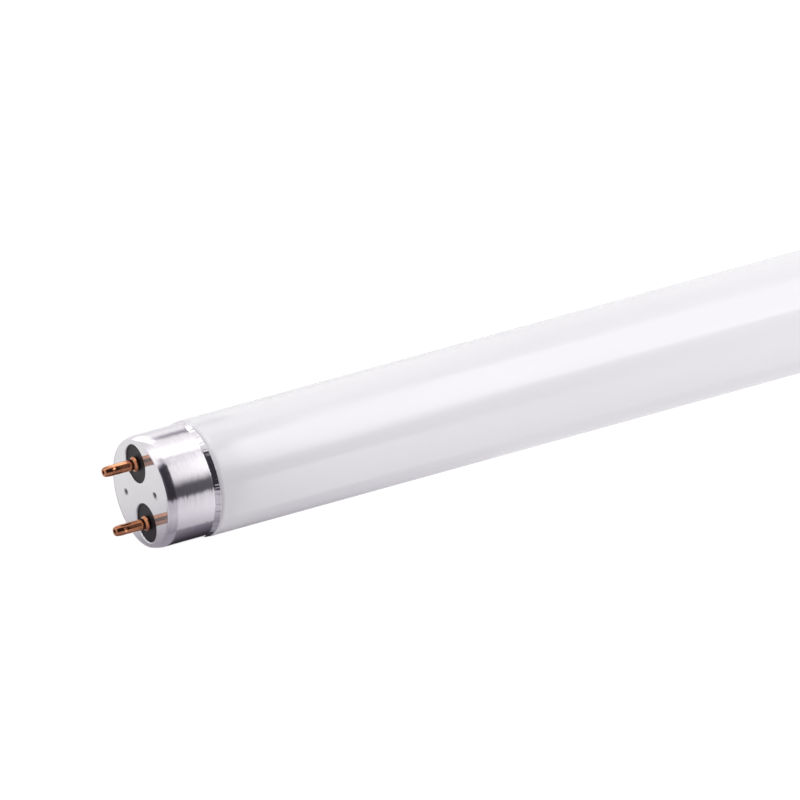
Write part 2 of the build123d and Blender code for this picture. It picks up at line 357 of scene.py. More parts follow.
@dataclass(frozen=True)
class TurnedMetal(Finish):
    """Copper alloy or tin, polished by drawing and darkened in patches."""

    tarnish: Colour
    patch_length: float = 1.6 * MM
    scratch_length: float = 0.6 * MM
    scratch_depth: float = 0.0006 * MM
    rough_shares: ClassVar[Pair] = (1.6, 1.0)

    def inputs(self, recipe: Recipe) -> dict[str, object]:
        """Patches of tarnish, duller than the metal round them, and fine scratches round the wire.

        Args:
            recipe: the material's node tree.

        Returns:
            The surface shader's inputs, by name.
        """
        patches = recipe.marks(self.patch_length, detail=5.0)
        scratches = recipe.marks(self.scratch_length, Grain.ROUND_TUBE)
        return {
            "Base Color": recipe.tint(patches, self.tarnish, self.colour),
            "Metallic": 1.0,
            "Roughness": self.rough(recipe, patches),
            "Normal": recipe.relief(scratches, self.scratch_depth),
        }


@dataclass(frozen=True)
class Moulding(Finish):
    """Plastic, ceramic or silicone: nearly one colour, with a fine surface and soft mottling."""

    gloss: float = 0.5
    grain_length: float = 0.25 * MM
    grain_depth: float = 0.006 * MM
    mottle_grains: float = 8.0
    mottle_level: float = 0.85

    def inputs(self, recipe: Recipe) -> dict[str, object]:
        """Soft mottling in the colour and a fine grain in the relief.

        Args:
            recipe: the material's node tree.

        Returns:
            The surface shader's inputs, by name.
        """
        mottle = recipe.marks(self.grain_length * self.mottle_grains)
        grain = recipe.marks(self.grain_length)
        return {
            "Base Color": recipe.tint(mottle, shaded(self.colour, self.mottle_level), self.colour),
            "Roughness": self.rough(recipe, grain),
            "Specular IOR Level": self.gloss,
            "Normal": recipe.relief(grain, self.grain_depth),
        }


@dataclass(frozen=True)
class PrintedBoard(Finish):
    """A circuit board: solder mask over copper, which shows through it as broad paler fields."""

    copper: Colour
    copper_level: float = 0.93
    copper_height: float = 0.035 * MM
    field_length: float = 7 * MM
    gap_share: float = 0.03
    gap_blur: float = 0.1
    rough_shares: ClassVar[Pair] = (0.85, 1.2)

    def inputs(self, recipe: Recipe) -> dict[str, object]:
        """Straight-sided copper fields, raised a little, with narrow gaps of bare board between them.

        Args:
            recipe: the material's node tree.

        Returns:
            The surface shader's inputs, by name.
        """
        inputs = {
            "Vector": recipe.place,
            "Color1": (*self.copper, 1.0),
            "Color2": (*shaded(self.copper, self.copper_level), 1.0),
            "Mortar": (*self.colour, 1.0),
            "Scale": 1.0 / self.field_length,
            "Mortar Size": self.gap_share,
            "Mortar Smooth": self.gap_blur,
        }
        fields = recipe.add("ShaderNodeTexBrick", inputs).outputs
        raised = recipe.number("SUBTRACT", 1.0, fields["Fac"])
        return {
            "Base Color": fields["Color"],
            "Roughness": self.rough(recipe, recipe.marks(self.field_length)),
            "Normal": recipe.relief(raised, self.copper_height),
        }


@dataclass(frozen=True)
class Winding(Finish):
    """Enamelled wire wound in even turns, one above the other."""

    wire_width: float = 0.3 * MM
    wire_height: float = 0.1 * MM
    unevenness: float = 0.4
    # how dark the painted shade in the grooves is
    groove_shade_level: float = 0.35
    metallic: float = 0.7
    rough_shares: ClassVar[Pair] = (1.5, 1.0)

    def inputs(self, recipe: Recipe) -> dict[str, object]:
        """One wave for each turn, with painted shade in the grooves and the full colour on the wires.

        The wave texture has 10 / pi waves to a length of one over its scale.

        Args:
            recipe: the material's node tree.

        Returns:
            The surface shader's inputs, by name.
        """
        scale = math.pi / (10 * self.wire_width)
        inputs = {"Vector": recipe.place, "Scale": scale, "Distortion": self.unevenness}
        turns = recipe.add("ShaderNodeTexWave", inputs, bands_direction="Z").outputs["Fac"]
        return {
            # painted shade darkens the colour in the grooves between the turns
            "Base Color": recipe.tint(turns, shaded(self.colour, self.groove_shade_level), self.colour),
            "Metallic": self.metallic,
            "Roughness": self.rough(recipe, turns),
            "Normal": recipe.relief(turns, self.wire_height),
        }


def linked(name: str, mesh: bpy.types.Mesh, *materials: Material) -> Object:
    """A new object in the scene, with that mesh and its materials.

    Args:
        name: the object's name.
        mesh: its mesh.
        materials: its materials, in the order of their slots.

    Returns:
        The object.
    """
    for material in materials:
        mesh.materials.append(material)
    thing = bpy.data.objects.new(name, mesh)
    bpy.context.scene.collection.objects.link(thing)
    return thing


class Shell:
    """Patches of surface that are welded along their edges into one closed piece."""

    def __init__(self) -> None:
        """Starts with no patch."""
        self.patches: list[tuple[Array, ...]] = []
        self.count = 0

    def add(self, grid: Array, slot: int = 0, painted_shade: Array | None = None) -> None:
        """Adds a patch whose last column joins its first.

        Face (i, j) joins point (i, j) to its neighbour in the next column, and both to the points
        below them in the next row. The grain map's first number is the length along the column and
        its second is the share of the way round.

        Args:
            grid: points, as rows, columns and coordinates.
            slot: which of the piece's materials the patch has.
            painted_shade: how much painted shade lies at each point, from 0 to 1. Without it the patch has
                none.
        """
        rows, columns = grid.shape[:2]
        first = np.arange(rows - 1)[:, None] * columns + np.arange(columns)[None, :]
        following = np.roll(first, -1, axis=1)
        faces = np.stack([first, following, following + columns, first + columns], axis=-1).reshape(-1, 4)
        steps = np.linalg.norm(np.diff(grid, axis=0), axis=-1)
        along = np.vstack([np.zeros(columns), np.cumsum(steps, axis=0)])
        around = np.broadcast_to(np.arange(columns) / columns, (rows, columns))
        places = np.stack([along, around], axis=-1).reshape(-1, 2)
        slots = np.full(len(faces), slot, dtype=np.int32)
        shade_values = np.zeros(rows * columns) if painted_shade is None else painted_shade.ravel()
        self.patches.append((grid.reshape(-1, 3), faces + self.count, slots, places, shade_values))
        self.count += rows * columns

    def piece(self, name: str, *finishes: Material) -> Object:
        """Welds the patches and turns every face outwards.

        Args:
            name: the piece's name.
            finishes: its materials, in the order of their slots.

        Returns:
            The new object, at the origin, with its place in its mesh.
        """
        points, corners, slots, places, shade_values = (np.concatenate(parts) for parts in zip(*self.patches))
        mesh = bpy.data.meshes.new(name)
        mesh.vertices.add(len(points))
        mesh.loops.add(corners.size)
        mesh.polygons.add(len(corners))
        for part, key, values in (
            (mesh.vertices, "co", points.astype(np.float32)),
            (mesh.loops, "vertex_index", corners.astype(np.int32)),
            (mesh.polygons, "loop_start", np.arange(0, corners.size, 4, dtype=np.int32)),
            (mesh.polygons, "material_index", slots),
            (mesh.polygons, "use_smooth", np.ones(len(corners), dtype=bool)),
        ):
            part.foreach_set(key, values.ravel())
        grain = mesh.uv_layers.new(name=GRAIN_MAP)
        grain.uv.foreach_set("vector", places[corners.ravel()].astype(np.float32).ravel())
        # painted shade of each point, kept as an attribute for the material
        painted_shade = mesh.attributes.new(PAINTED_SHADE_MAP, "FLOAT", "POINT")
        painted_shade.data.foreach_set("value", shade_values.astype(np.float32))
        mesh.update(calc_edges=True)
        welded = bmesh.new()
        welded.from_mesh(mesh)
        bmesh.ops.remove_doubles(welded, verts=welded.verts, dist=WELD_DISTANCE)
        bmesh.ops.recalc_face_normals(welded, faces=welded.faces)
        welded.to_mesh(mesh)
        welded.free()
        log.info("%s: %d faces", name, len(mesh.polygons))
        return linked(name, mesh, *finishes)


def seat(piece: Object, slot: str, *nodes: str) -> None:
    """Puts a finished piece on the tube's one body, in the place of the nodes that it stands for.

    Args:
        piece: the finished piece.
        slot: not used.
        nodes: the nodes that it stands for.
    """
    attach(piece, "root")
    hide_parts(*nodes)


def dress(material: Material, *nodes: str) -> None:
    """Gives carried-over nodes their material.

    Args:
        material: the material.
        nodes: the nodes' names.
    """
    for name in nodes:
        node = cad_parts[name]
        node.data.materials.clear()
        node.data.materials.append(material)
        log.info("%s: kept, with %s", name, material.name)


def turned(profile: Array, turns: Array, side: float = 0.0) -> Array:
    """A profile carried round a line that is parallel to X.

    A point at x and radius r goes to (x, side + r sin(turn), r cos(turn)).

    Args:
        profile: x and radius of each point.
        turns: the angles, in radians.
        side: the line's Y.

    Returns:
        Points, as rows, columns and coordinates.
    """
    x = np.broadcast_to(profile[:, :1], (len(profile), len(turns)))
    radius = profile[:, 1:]
    return np.stack([x, side + radius * np.sin(turns), radius * np.cos(turns)], axis=-1)


def arc(centre: Pair, radius: float, start: float, stop: float, steps: int) -> Array:
    """Points on a circle's arc, evenly spaced.

    A point at angle a lies at the centre plus radius times (cos a, sin a).

    Args:
        centre: the circle's centre.
        radius: its radius.
        start: the first angle, in degrees.
        stop: the last angle, in degrees.
        steps: how many stretches the arc has.

    Returns:
        The points, one a row.
    """
    angle = np.radians(np.linspace(start, stop, steps + 1))
    return np.stack([centre[0] + radius * np.cos(angle), centre[1] + radius * np.sin(angle)], axis=-1)


def line(start: Pair, stop: Pair, steps: int) -> Array:
    """Points on a straight line, from start to stop, evenly spaced."""
    return np.linspace(start, stop, steps + 1)


def round_trip(steps: int) -> Array:
    """Angles all the way round, evenly spaced, in radians."""
    return np.arange(steps) * (2 * np.pi / steps)


def ripple(waves: Waves, turn: Array, lean: float | Array = 0.0) -> Array:
    """A sum of waves round the tube.

    Args:
        waves: how often each wave goes up and down on the way round, its size, and its phase.
        turn: the angles, in radians.
        lean: what is added to every phase.

    Returns:
        The sum at each angle.
    """
    return sum(size * np.sin(count * turn + phase + lean) for count, size, phase in waves)


def at_end(end: End, grid: Array) -> Array:
    """The grid, with its depths turned into places along X at that end of the tube."""
    face_x = -end.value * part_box("end_cap_input")[0].x
    return grid * (-end.value, 1.0, 1.0) + (face_x, 0.0, 0.0)


@dataclass
class GlassPipe:
    """The opal glass pipe, necked at both ends so that the caps come out flush with it."""

    wall: float = 0.8 * MM
    neck_radius: float = 11.4 * MM
    shoulder_depth: float = 11.95 * MM
    shoulder_slope: float = 50.7
    crown_radius: float = 1.2 * MM
    crown_gap: float = 0.3 * MM
    turns: int = 384

    def half_profile(self, wall: float) -> Array:
        """Half of the pipe's outline at that depth below its outer surface, from the neck to the middle.

        The neck is straight, the shoulder climbs at its slope, and an arc runs it out into the full
        radius. A line below the surface keeps its distance from it.

        Args:
            wall: how far the line lies below the outer surface.

        Returns:
            x and radius of each point.
        """
        low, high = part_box("glass_tube")
        face_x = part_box("end_cap_input")[0].x
        slope = math.radians(self.shoulder_slope)
        crown = max(self.crown_radius - wall, 0.0)
        full = high.y - wall
        neck = self.neck_radius - wall
        bend_x = face_x + self.shoulder_depth + wall * math.tan(slope / 2)
        climb = (full - neck) - crown * (1 - math.cos(slope))
        crown_x = bend_x + climb / math.tan(slope) + crown * math.sin(slope)
        mouth = line((low.x + self.wall / 2, neck), (bend_x, neck), steps=6)
        crown_arc = arc((crown_x, full - crown), crown, 90 + self.shoulder_slope, 90, steps=14)
        body = line((crown_x + self.crown_gap, full), (0.0, full), steps=12)
        return np.concatenate([mouth, crown_arc, body])

    def build(self, finish: Material) -> None:
        """Makes the pipe: outer surface, a fire-polished lip at each mouth, and inner surface.

        Args:
            finish: the glass's finish.
        """
        outer = self.half_profile(0.0)
        inner = self.half_profile(self.wall)
        lip_centre = (outer[0, 0], self.neck_radius - self.wall / 2)
        lip = arc(lip_centre, self.wall / 2, 270, 90, steps=10)[1:-1]
        half = np.concatenate([inner[::-1], lip, outer])
        other = half[::-1] * (-1.0, 1.0)
        loop = np.concatenate([half, other[1:-1], half[:1]])
        shell = Shell()
        shell.add(turned(loop, round_trip(self.turns)))
        seat(shell.piece("opal_glass_pipe", finish), "opal_glass", "glass_tube")


@dataclass
class EndCap:
    """A cap drawn from aluminium sheet: flat face with two windows and two stake marks, round corner,
    straight skirt, and a rim that was flared and crimped over the shoulder of the glass.
    """

    end: End
    node: str
    wall: float = 0.4 * MM
    face_wall: float = 0.5 * MM
    inner_bevel: float = 0.1 * MM
    skirt_radius: float = 12.1 * MM
    skirt_middle: float = 5 * MM
    corner_radius: float = 0.35 * MM
    brow_radius: float = 5.2 * MM
    brow_lean: float = 23.0
    brow_gap: float = 0.1 * MM
    face_radius: float = 11.36 * MM
    face_sink: float = 0.05 * MM
    flare_length: float = 1.38 * MM
    flare_lead: float = 0.25 * MM
    land_length: float = 0.03 * MM
    foot_bend: float = 0.16
    top_bend: float = 0.06
    edge_radius: float = 0.1 * MM
    window_radius: float = 4.15 * MM
    window_edge: float = 0.3 * MM
    stake_spacing: float = 13.0 * MM
    stake_radius: float = 0.72 * MM
    stake_depth: float = 0.3 * MM
    stake_bottom: float = 0.85
    # how dark the painted shade in the stake marks is
    stake_shade_level: float = 0.95
    ring_height: float = 0.25
    ring_place: float = 1.2
    ring_width: float = 0.2
    pin_spacing: float = 12.7 * MM
    wrinkle_depth: float = 0.01 * MM
    wrinkle_share: float = 0.45
    wrinkles: Waves = ((53, 0.9, 0.7), (88, 0.75, 0.2), (127, 0.5, 1.9), (171, 0.25, 4.4))
    swells: Waves = ((5, 0.5, 1.3), (13, 0.4, 0.4))
    # painted shade in the rim's wrinkles: its darkness, the share of the flare over which it grows, and the
    # wave depths between which it grows
    wrinkle_shade_level: float = 0.3
    wrinkle_shade_share: float = 0.3
    wrinkle_shade_depths: Pair = (0.6, 2.0)
    half_turns: int = 360
    line_steps: int = 126

    @property
    def turns(self) -> Array:
        """Angles round the cap, from +Z through +Y."""
        return round_trip(2 * self.half_turns)

    @property
    def length(self) -> float:
        """How deep the cap is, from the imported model."""
        low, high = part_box(self.node)
        return high.x - low.x

    @property
    def rim_radius(self) -> float:
        """The rim's radius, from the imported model."""
        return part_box(self.node)[1].y

    @property
    def bore(self) -> float:
        """The inner radius of the skirt."""
        return self.skirt_radius - self.wall

    def rim_line(self, inset: float) -> Array:
        """The skirt and the flared rim, at that distance inside the outer skin.

        The flare climbs in a straight line over its length, with a short smooth bend at its foot and
        at its top, and ends in a land that is parallel to the skirt. The bends are shares of the climb.

        Args:
            inset: how far the line lies inside the outer skin.

        Returns:
            Depth and radius of each point.
        """
        start = self.length - self.flare_length
        climb = self.flare_length - self.land_length
        top_depth = start + climb - self.edge_radius
        slope = np.linspace(start - self.flare_lead, top_depth, 22)
        land = np.linspace(top_depth, self.length - self.edge_radius, 4)[1:]
        depth = np.concatenate([slope, land])
        share = np.clip((depth - start) / climb, 0.0, 1.0)
        foot = np.minimum(share, self.foot_bend) ** 2 / (2 * self.foot_bend)
        top = np.clip(share - (1 - self.top_bend), 0.0, self.top_bend) ** 2 / (2 * self.top_bend)
        straight = np.maximum(share - self.foot_bend, 0.0)
        rise = (foot + straight - top) / (1 - (self.foot_bend + self.top_bend) / 2)
        radius = self.skirt_radius + (self.rim_radius - self.skirt_radius) * rise - inset
        return np.stack([depth, radius], axis=-1)

    def skin(self) -> Array:
        """Outline of the cap's wall: from the edge of the flat face over the corner and the brow, along the
        skirt, round the rim's edge and back inside to the face's inner side.

        The corner is a tight arc that stops short of the skirt's direction by the brow's lean, and the
        brow is a wide arc that takes up the rest of the turn. The inner side of the rim, which the glass
        hides, has a third of the outer side's points.

        Returns:
            Depth and radius of each point.
        """
        lean = math.radians(self.brow_lean)
        bend_depth = self.corner_radius * (1 - math.sin(lean))
        bend_radius = self.skirt_radius - self.brow_radius * (1 - math.cos(lean))
        corner_centre = (self.corner_radius, bend_radius - self.corner_radius * math.cos(lean))
        corner = arc(corner_centre, self.corner_radius, 180, 90 + self.brow_lean, steps=10)
        brow_end = bend_depth + self.brow_radius * math.sin(lean)
        brow_centre = (brow_end, self.skirt_radius - self.brow_radius)
        brow = arc(brow_centre, self.brow_radius, 90 + self.brow_lean, 90, steps=18)[1:]
        step = line((self.face_sink, self.face_radius), tuple(corner[0]), steps=3)[:-1]
        skirt_start = (brow_end + self.brow_gap, self.skirt_radius)
        skirt = line(skirt_start, (self.skirt_middle, self.skirt_radius), steps=3)
        outside = self.rim_line(0.0)
        inside = self.rim_line(self.wall)[::-3]
        outer_centre = outside[-1] - (0.0, self.edge_radius)
        inner_centre = inside[0] + (0.0, self.edge_radius)
        outer_edge = arc(outer_centre, self.edge_radius, 90, 0, steps=4)[1:]
        inner_edge = arc(inner_centre, self.edge_radius, 0, -90, steps=4)[:-1]
        back_end = (self.face_wall + self.inner_bevel, self.bore)
        back = line((self.skirt_middle, self.bore), back_end, steps=2)
        foot = np.array([(self.face_wall, self.bore - self.inner_bevel)])
        edge = np.concatenate([outer_edge, inner_edge])
        return np.concatenate([step, corner, brow, skirt, outside, edge, inside, back, foot])

    def up_flare(self, grid: Array) -> Array:
        """How far up the flare each point lies, with its foot at 0 and its end at 1."""
        return (grid[..., 0] - (self.length - self.flare_length)) / self.flare_length

    def crimp(self, grid: Array) -> Array:
        """Wrinkles the rim where it was crimped.

        The radius changes by the ripple of the wrinkles, less its highest crest, times a share that
        grows from the foot of the flare to its middle. The waves lean a little, because their phase
        grows with the depth, and they swell and fade with two slow waves round the rim.

        Args:
            grid: points of the cap's wall, with their depth in the place of X.

        Returns:
            The same points, wrinkled.
        """
        turn = np.arctan2(grid[..., 1], grid[..., 2])
        up = self.up_flare(grid)
        sunk = ripple(self.wrinkles, turn, up) - sum(size for _, size, _ in self.wrinkles)
        swell = 1 + ripple(self.swells, turn)
        share = np.clip(up / self.wrinkle_share, 0.0, 1.0)
        amount = 1 + self.wrinkle_depth * swell * sunk * share / self.rim_radius
        return grid * np.stack([np.ones_like(amount), amount, amount], axis=-1)

    def rim_painted_shade(self, grid: Array) -> Array:
        """Painted shade in the rim's wrinkles: it grows with the depth below the mean of the waves, on the
        flare.

        Args:
            grid: points of the cap's wall before they are wrinkled.

        Returns:
            How much painted shade lies at each point, from 0 to 1.
        """
        shallow, deep = self.wrinkle_shade_depths
        sunk = -ripple(self.wrinkles, np.arctan2(grid[..., 1], grid[..., 2]))
        flare = np.clip(self.up_flare(grid) / self.wrinkle_shade_share, 0.0, 1.0)
        return self.wrinkle_shade_level * flare * np.clip((sunk - shallow) / (deep - shallow), 0.0, 1.0)

    def from_stake(self, grid: Array) -> Array:
        """Distance from the centre of the nearer stake mark, over its radius."""
        return np.hypot(grid[..., 1], np.abs(grid[..., 2]) - self.stake_spacing / 2) / self.stake_radius

    def dimpled(self, grid: Array) -> Array:
        """Sinks the two stake marks into the face.

        With d as the distance from a mark's centre over its radius, the face sinks by the depth times
        (1 - d) inside the mark, as a centre punch leaves it. It stands up in a low ring round the mark,
        by a share of the depth times exp(-u squared), where u is d less the ring's place, over its width.

        Args:
            grid: points of the face's front, with their depth in the place of X.

        Returns:
            The same points, with the marks in them.
        """
        away = self.from_stake(grid)
        pit = self.stake_depth * np.clip(1 - away, 0.0, self.stake_bottom)
        off_ring = (away - self.ring_place) / self.ring_width
        ring = self.ring_height * self.stake_depth * np.exp(-(off_ring**2))
        return grid + np.stack([pit - ring, np.zeros_like(pit), np.zeros_like(pit)], axis=-1)

    def stake_painted_shade(self, grid: Array) -> Array:
        """Painted shade in the stake marks: exp(-d^4), with d as the distance from a mark's centre over its
        radius.
        """
        return self.stake_shade_level * np.exp(-(self.from_stake(grid) ** 4))

    def half_face(self, side: int, reach: float, hole: float, depth: float, shares: Array) -> Array:
        """Half of the flat face, round its window.

        The half disc's edge is half of the circle and then the line across it. Each of its points is
        joined by a straight line to the point of the window's circle in the same direction from the
        window's centre.

        Args:
            side: 1 for the half at +Y and -1 for the other.
            reach: the disc's radius.
            hole: the window's radius.
            depth: how deep the face lies.
            shares: where the rows lie between the window, at 0, and the edge, at 1.

        Returns:
            Points, as rows, columns and coordinates.
        """
        turn = self.turns[: self.half_turns + 1]
        across = np.linspace(-reach, reach, self.line_steps + 2)[1:-1]
        edge_y = np.concatenate([reach * np.sin(turn), np.zeros_like(across)])
        edge_z = np.concatenate([reach * np.cos(turn), across])
        centre_y = self.pin_spacing / 2
        away = np.hypot(edge_y - centre_y, edge_z)
        hole_y = centre_y + hole * (edge_y - centre_y) / away
        hole_z = hole * edge_z / away
        y = hole_y + shares[:, None] * (edge_y - hole_y)
        z = hole_z + shares[:, None] * (edge_z - hole_z)
        return np.stack([np.full_like(y, depth), side * y, z], axis=-1)

    def build(self, skirt: Material, face: Material) -> None:
        """Makes the cap: its wall, and for each half the front and back of the face and the wall of its
        window, from the rounded front edge to the back.

        Args:
            skirt: finish of the skirt, the corner and the rim.
            face: finish of the flat face.
        """
        shell = Shell()
        wall = turned(self.skin(), self.turns)
        # the wall gets painted shade in the troughs of the rim's wrinkles
        shell.add(at_end(self.end, self.crimp(wall)), painted_shade=self.rim_painted_shade(wall))
        rim = np.zeros(1)
        front_rows = np.concatenate([[0.0, 0.01, 0.03], np.linspace(0.07, 0.97, 26), [0.99, 1.0]])
        back_rows = np.linspace(0.0, 1.0, 4)
        back_shape = (self.bore - self.inner_bevel, self.window_radius, self.face_wall)
        opening = self.window_radius + self.window_edge
        edge = arc((self.face_sink + self.window_edge, opening), self.window_edge, 180, 270, steps=4)
        for side in (1, -1):
            front = self.half_face(side, self.face_radius, opening, self.face_sink, front_rows)
            back = self.half_face(side, *back_shape, back_rows)
            rings = [self.half_face(side, self.face_radius, radius, depth, rim) for depth, radius in edge]
            rings.append(self.half_face(side, *back_shape, rim))
            # the face gets painted shade in its stake marks
            shell.add(at_end(self.end, self.dimpled(front)), slot=1, painted_shade=self.stake_painted_shade(front))
            shell.add(at_end(self.end, back))
            shell.add(at_end(self.end, np.concatenate(rings)), slot=1)
        seat(shell.piece(f"cap_{self.end.name.lower()}", skirt, face), "cap_aluminium", self.node)


@dataclass
class ContactPin:
    """A hollow contact pin: rivet head, bead at its foot, straight shank, four crimp dents, round tip."""

    end: End
    node: str
    face_wall: float = 0.5 * MM
    insulator: float = 1.6 * MM
    radius: float = 1.175 * MM
    bore: float = 0.45 * MM
    bead_height: float = 0.475 * MM
    bead_length: float = 1.1 * MM
    bead_power: float = 0.75
    bead_gap: float = 0.05 * MM
    tip_radius: float = 0.9 * MM
    tip_length: float = 2.0 * MM
    mouth_length: float = 1 * MM
    lip: float = 0.12 * MM
    rivet_radius: float = 1.8 * MM
    rivet_height: float = 0.5 * MM
    rivet_edge: float = 0.2 * MM
    bevel: float = 0.1 * MM
    crimp_from_tip: float = 2.5 * MM
    crimp_reach: float = 0.5 * MM
    crimp_depth: float = 0.045 * MM
    crimp_count: int = 4
    turns: int = 128

    @property
    def side(self) -> float:
        """The Y of the pin's own axis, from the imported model."""
        low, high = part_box(self.node)
        return (low.y + high.y) / 2

    @property
    def head_back(self) -> float:
        """How deep the back of the rivet head lies."""
        return self.face_wall + self.insulator + self.rivet_height

    @property
    def reach(self) -> float:
        """How far the tip stands out before the face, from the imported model."""
        low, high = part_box(self.node)
        return (high.x - low.x) - self.head_back

    def outline(self) -> Array:
        """Depth and radius of each point, from the rivet head over the outside to the tip and back
        through the bore.

        The bead is half a wave of a sine to a power, and the tip narrows by a quarter of an ellipse.

        Returns:
            The points, one a row.
        """
        back = self.head_back
        front = back - self.rivet_height
        edge = self.rivet_edge
        head = line((back, self.bore + self.bevel), (back, self.rivet_radius - self.bevel), steps=3)
        head_side = arc((back - edge, self.rivet_radius - edge), edge, 0, 90, steps=4)
        under = np.array([(front, self.rivet_radius), (front, self.radius)])
        neck = line((front - self.bevel, self.radius), (self.face_wall, self.radius), steps=2)
        share = np.linspace(0.0, 1.0, 25)
        bead_depth = self.face_wall - share * self.bead_length
        bead_radius = self.radius + self.bead_height * np.sin(np.pi * share) ** self.bead_power
        bead = np.stack([bead_depth, bead_radius], axis=-1)
        shank_start = self.face_wall - self.bead_length - self.bead_gap
        shank_end = self.tip_length - self.reach
        shank = line((shank_start, self.radius), (shank_end, self.radius), steps=44)
        quarter = np.radians(np.linspace(0.0, 90.0, 15))[1:]
        narrowing = self.radius - self.tip_radius
        nose_depth = shank_end - (self.tip_length - self.lip) * np.sin(quarter)
        nose_radius = self.radius - narrowing * (1 - np.cos(quarter))
        nose = np.stack([nose_depth, nose_radius], axis=-1)
        lip_depth = self.lip - self.reach
        lip_out = arc((lip_depth, self.tip_radius - self.lip), self.lip, 90, 180, steps=5)[1:]
        mouth = arc((lip_depth, self.bore + self.lip), self.lip, 180, 270, steps=5)
        bore = line((self.mouth_length - self.reach, self.bore), (back, self.bore), steps=6)
        outside = [head, head_side, under, neck, bead, shank, nose]
        return np.concatenate([*outside, lip_out, mouth, bore, head[:1]])

    def dented(self, grid: Array) -> Array:
        """Presses the crimp dents into the shank.

        With d as the distance from a dent's centre over its reach, along the shank and round it, the
        radius shrinks by the depth times exp(-d squared).

        Args:
            grid: points of the pin, with their depth in the place of X.

        Returns:
            The same points, dented.
        """
        y = grid[..., 1] - self.side
        radius = np.hypot(y, grid[..., 2])
        step = 2 * np.pi / self.crimp_count
        turn = np.arctan2(y, grid[..., 2]) + step / 2
        around = (np.mod(turn, step) - step / 2) * self.radius
        along = grid[..., 0] - (self.crimp_from_tip - self.reach)
        outer = radius > (self.radius + self.bore) / 2
        dent = self.crimp_depth * np.exp(-(along**2 + around**2) / self.crimp_reach**2) * outer
        factor = (radius - dent) / radius
        return np.stack([grid[..., 0], self.side + y * factor, grid[..., 2] * factor], axis=-1)

    def build(self, finish: Material) -> None:
        """Makes the pin.

        Args:
            finish: the pin's finish.
        """
        shell = Shell()
        shell.add(at_end(self.end, self.dented(turned(self.outline(), round_trip(self.turns), self.side))))
        name = self.node.removeprefix("contact_")
        seat(shell.piece(name, finish), "pin_copper", self.node)


@dataclass(frozen=True)
class Inside:
    """What lies inside the tube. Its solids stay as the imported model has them, and get their finish.

    Each row has a finish and the nodes that it dresses.
    """

    rows: tuple[tuple[Finish | str, ...], ...] = (
        (
            Moulding("insulator_charcoal", (0.02, 0.0165, 0.019), 0.5, gloss=0.3),
            "insulator_input", "insulator_far",
        ),
        (PrintedBoard("strip_board", (0.72, 0.72, 0.71), 0.35, (0.86, 0.87, 0.86)), "led_strip_board"),
        (PrintedBoard("driver_board", (0.02, 0.13, 0.05), 0.35, (0.05, 0.28, 0.12)), "driver_board"),
        (Moulding("strip_silicone", (0.82, 0.82, 0.82), 0.45), "strip_adhesive"),
        (Moulding("led_housing", (0.85, 0.85, 0.83), 0.4), "led_housings"),
        (Moulding("led_phosphor", (0.88, 0.7, 0.16), 0.3, grain_length=0.1 * MM), "led_phosphor"),
        (Moulding("sleeve_film", (0.83, 0.84, 0.85), 0.2, grain_length=3 * MM), "driver_sleeve"),
        (Moulding("fuse_ceramic", (0.42, 0.56, 0.46), 0.35), "fuse_resistor"),
        (Moulding("varistor_coating", (0.08, 0.2, 0.5), 0.25), "varistor"),
        (Moulding("film_capacitor_case", (0.75, 0.55, 0.1), 0.3), "input_capacitor"),
        (Moulding("ferrite", (0.08, 0.08, 0.085), 0.55), "choke_core"),
        (Winding("enamelled_copper", (0.55, 0.24, 0.1), 0.28), "choke_winding"),
        (Moulding("can_sleeve", (0.03, 0.035, 0.05), 0.2), "smoothing_capacitor", "output_capacitor"),
        (Moulding("chip_moulding", (0.03, 0.03, 0.03), 0.45), "bridge_rectifier", "driver_ic"),
        (
            TurnedMetal("tinned_wire", (0.72, 0.71, 0.69), 0.2, (0.5, 0.49, 0.48)),
            "lead_live", "lead_neutral", "lead_plus", "lead_minus", "pin_link_wire",
        ),
    )

    def dress(self) -> None:
        """Gives every inner node its finish."""
        for finish, *nodes in self.rows:
            dress(finish.material(), *nodes)


